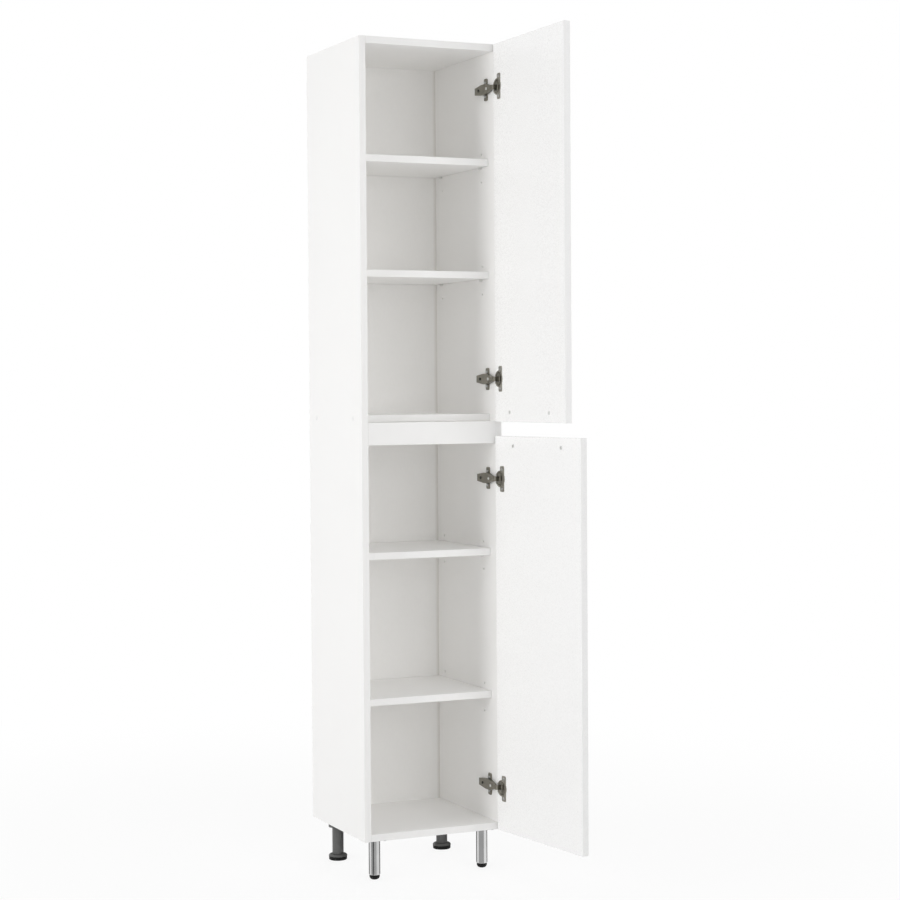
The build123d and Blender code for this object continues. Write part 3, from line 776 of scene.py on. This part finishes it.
def seen_rays(tree):
    """One for rays that show the backdrop: straight to the camera, mirrored or through glass."""
    path = tree.nodes.new("ShaderNodeLightPath")
    total = path.outputs["Is Camera Ray"]
    for ray in ("Is Glossy Ray", "Is Transmission Ray"):
        step = tree.nodes.new("ShaderNodeMath")
        step.operation = "MAXIMUM"
        tree.links.new(total, step.inputs[0])
        tree.links.new(path.outputs[ray], step.inputs[1])
        total = step.outputs[0]
    return total


def add_world():
    """Even white light, with a white backdrop for the camera and for reflections."""
    world = bpy.data.worlds.new("studio")
    scene.world = world
    world.use_nodes = True
    tree = world.node_tree
    tree.nodes.clear()
    out = tree.nodes.new("ShaderNodeOutputWorld")
    light = tree.nodes.new("ShaderNodeBackground")
    light.inputs["Color"].default_value = (1, 1, 1, 1)
    light.inputs["Strength"].default_value = WORLD_LEVEL
    backdrop = tree.nodes.new("ShaderNodeBackground")
    backdrop.inputs["Color"].default_value = (1, 1, 1, 1)
    choice = tree.nodes.new("ShaderNodeMixShader")
    tree.links.new(seen_rays(tree), choice.inputs[0])
    tree.links.new(light.outputs[0], choice.inputs[1])
    tree.links.new(backdrop.outputs[0], choice.inputs[2])
    tree.links.new(choice.outputs[0], out.inputs[0])


def add_floor():
    """Plain pale floor that keeps a soft shadow and fades into the backdrop."""
    mesh = bpy.data.meshes.new("floor")
    half = FLOOR_HALF
    corners = [(-half, -half, 0), (half, -half, 0), (half, half, 0), (-half, half, 0)]
    mesh.from_pydata(corners, [], [(0, 1, 2, 3)])
    floor = bpy.data.objects.new("floor", mesh)
    floor.location.z = cad_box[0].z
    scene.collection.objects.link(floor)
    recipe = Recipe("pale_floor", rough=FLOOR_ROUGH)
    recipe.colour(recipe.mix(recipe.spread(recipe.noise(FLOOR_CLOUDS), 0, 1), *FLOOR_TONES))
    away = recipe.add("ShaderNodeVectorMath", operation="LENGTH")
    recipe.set(away, 0, recipe.place)
    fade = recipe.add("ShaderNodeMapRange", interpolation_type="SMOOTHERSTEP")
    recipe.set(fade, "Value", away.outputs["Value"])
    recipe.set(fade, "From Min", FADE_FROM)
    recipe.set(fade, "From Max", FADE_TO)
    recipe.set(fade, "To Min", NEAR_GLOW)
    glow = recipe.add("ShaderNodeEmission")
    choice = recipe.add("ShaderNodeMixShader")
    recipe.set(choice, 0, recipe.math("MULTIPLY", seen_rays(recipe.tree), fade.outputs[0]))
    recipe.set(choice, 1, recipe.shader.outputs[0])
    recipe.set(choice, 2, glow.outputs[0])
    recipe.set(recipe.tree.nodes["Material Output"], 0, choice.outputs[0])
    mesh.materials.append(recipe.material)


def add_reflection_card(name, foot, start, end, level):
    """A curved glowing card round a foot, shown only by reflections, that paints the foot's light and dark
    reflection bands.
    """
    low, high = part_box(foot)
    middle = (low + high) / 2
    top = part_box("bottom_panel")[0].z
    steps = [math.radians(start + (end - start) * step / CARD_STEPS) for step in range(CARD_STEPS + 1)]
    ring = [(middle.x - CARD_R * math.sin(turn), middle.y - CARD_R * math.cos(turn)) for turn in steps]
    points = [(x, y, cad_box[0].z) for x, y in ring] + [(x, y, top) for x, y in ring]
    count = len(ring)
    mesh = bpy.data.meshes.new(name)
    mesh.from_pydata(points, [], [(k, k + 1, count + k + 1, count + k) for k in range(CARD_STEPS)])
    material = bpy.data.materials.new(name)
    material.use_nodes = True
    tree = material.node_tree
    glow = tree.nodes.new("ShaderNodeEmission")
    glow.inputs["Strength"].default_value = level
    tree.links.new(glow.outputs[0], tree.nodes["Material Output"].inputs[0])
    mesh.materials.append(material)
    card = bpy.data.objects.new(name, mesh)
    for ray in ("camera", "diffuse", "transmission", "volume_scatter", "shadow"):
        setattr(card, "visible_" + ray, False)
    scene.collection.objects.link(card)


def add_lamp(name, place, size, power):
    """One soft square lamp aimed at the middle of the cabinet."""
    data = bpy.data.lights.new(name, "AREA")
    data.size = size
    data.energy = power
    lamp = bpy.data.objects.new(name, data)
    lamp.location = place
    lamp.rotation_mode = "QUATERNION"
    lamp.rotation_quaternion = (Vector(AIM) - Vector(place)).to_track_quat("-Z", "Y")
    lamp.visible_camera = False
    lamp.visible_glossy = False
    scene.collection.objects.link(lamp)


add_camera()
add_world()
add_floor()
# glowing cards that paint reflection bands on the legs and feet
for foot, cards in GLOWING_REFLECTION_CARDS.items():
    for index, card in enumerate(cards):
        add_reflection_card(foot + "_card_" + str(index), foot, *card)
for lamp_name, (lamp_place, lamp_size, lamp_power) in LAMPS.items():
    add_lamp(lamp_name, lamp_place, lamp_size, lamp_power)

# finishes
carcass_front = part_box("left_side")[0].y
shelf_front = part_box("shelf_1")[0].y
carcass_white = board_finish("white_board", carcass_front)
panel_white = board_finish("white_panel_board", carcass_front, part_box("top_panel")[1].x)
shelf_white = board_finish("white_shelf_board", shelf_front)
nickel = metal_finish("nickel", NICKEL, NICKEL_ROUGH)
lit_flange_nickel = metal_finish("lit_flange_nickel", LIT_FLANGE_NICKEL, NICKEL_ROUGH)
lit_bowl_nickel = metal_finish("lit_bowl_nickel", LIT_BOWL_NICKEL, BOWL_ROUGH)
shaded_steel = metal_finish("shaded_steel", SHADED_STEEL, STEEL_ROUGH)
zinc = metal_finish("zinc", ZINC, ZINC_ROUGH)
lit_zinc = metal_finish("lit_zinc", LIT_ZINC, LIT_ZINC_ROUGH)
satin = metal_finish("satin_steel", SATIN, SATIN_ROUGH, stretch=(1, 0.03, 1), scale=FINE_STREAKS)
chrome = metal_finish("chrome", CHROME, CHROME_ROUGH, stretch=(1, 1, 0.02), scale=FINE_STREAKS)
foot_plastic = plastic_finish("grey_plastic", FOOT_GREY, FOOT_ROUGH)
black_plastic = plastic_finish("black_plastic", BLACK, BLACK_ROUGH, shine=BLACK_SHINE)
cap_plastic = plastic_finish("white_plastic", CAP_WHITE, CAP_ROUGH)

# the cabinet
for node in ("left_side", "right_side"):
    paint(node, carcass_white)
for node in ("top_panel", "bottom_panel", "front_rail"):
    paint(node, panel_white)
for node in ("fixed_shelf", "shelf_1", "shelf_2", "shelf_3", "shelf_4"):
    paint(node, shelf_white)
paint("back_panel", sheet_finish())
paint("wood_dowels", wood_finish())
for node in ("cam_locks", "cam_bolts", "shelf_screws", "back_nails"):
    paint(node, zinc)

# the doors with their handles and hinges
joints = {joint["name"]: joint for joint in frame["joints"]}
for door in ("upper", "lower"):
    swing = joints[door + "_door_swing"]
    open_angle = math.radians(-swing["range_deg"][0])
    inward = Matrix.Rotation(open_angle, 3, "Z") @ Vector((0, 1, 0))
    paint(door + "_door", door_finish(door + "_door_white", swing, door + "_door"))
    soften(door + "_handle", HANDLE_ROUND, satin)
    paint(door + "_hinge_pins", zinc)
    # handle screws in the paler zinc: painted light
    dress_screws(door + "_handle_screws", inward, HANDLE_SCREW, lit_zinc)
    dress_screws(door + "_cup_screws", inward, CUP_SCREW, zinc)
    for place in ("bottom", "top"):
        hinge = door + "_" + place + "_hinge_"
        soften(hinge + "arm", HINGE_ROUND, nickel)
        soften(hinge + "plate", HINGE_ROUND, nickel)
        # the cup's flange and bowl in lighter nickel: painted light
        dress_cup(hinge + "cup", inward, lit_flange_nickel, lit_bowl_nickel)

# fittings and feet
dress_screws("hinge_plate_screws", (-1, 0, 0), PLATE_SCREW, zinc)
# front hinge arm screws in the paler zinc, painted light; rear ones near black, painted shade
dress_screws("hinge_arm_screws", (-1, 0, 0), ARM_SCREW, lit_zinc, shaded_steel)
dress_screws("foot_screws", (0, 0, -1), PLATE_SCREW, zinc)
# shelf pins in the paler zinc: painted light
dress_pins("shelf_pins", lit_zinc)
dress_caps("screw_caps", cap_plastic)
for side in ("left", "right"):
    paint("front_" + side + "_leg_tube", chrome)
    soften("front_" + side + "_leg_plate", LEG_PLATE_ROUND, zinc)
    dress_glide("front_" + side + "_leg_glide", black_plastic, zinc)
    soften("rear_" + side + "_foot_socket", SOCKET_ROUND, foot_plastic)
    # rear feet: grey top, black lower band of painted shade
    dress_base("rear_" + side + "_foot_base", foot_plastic, black_plastic)
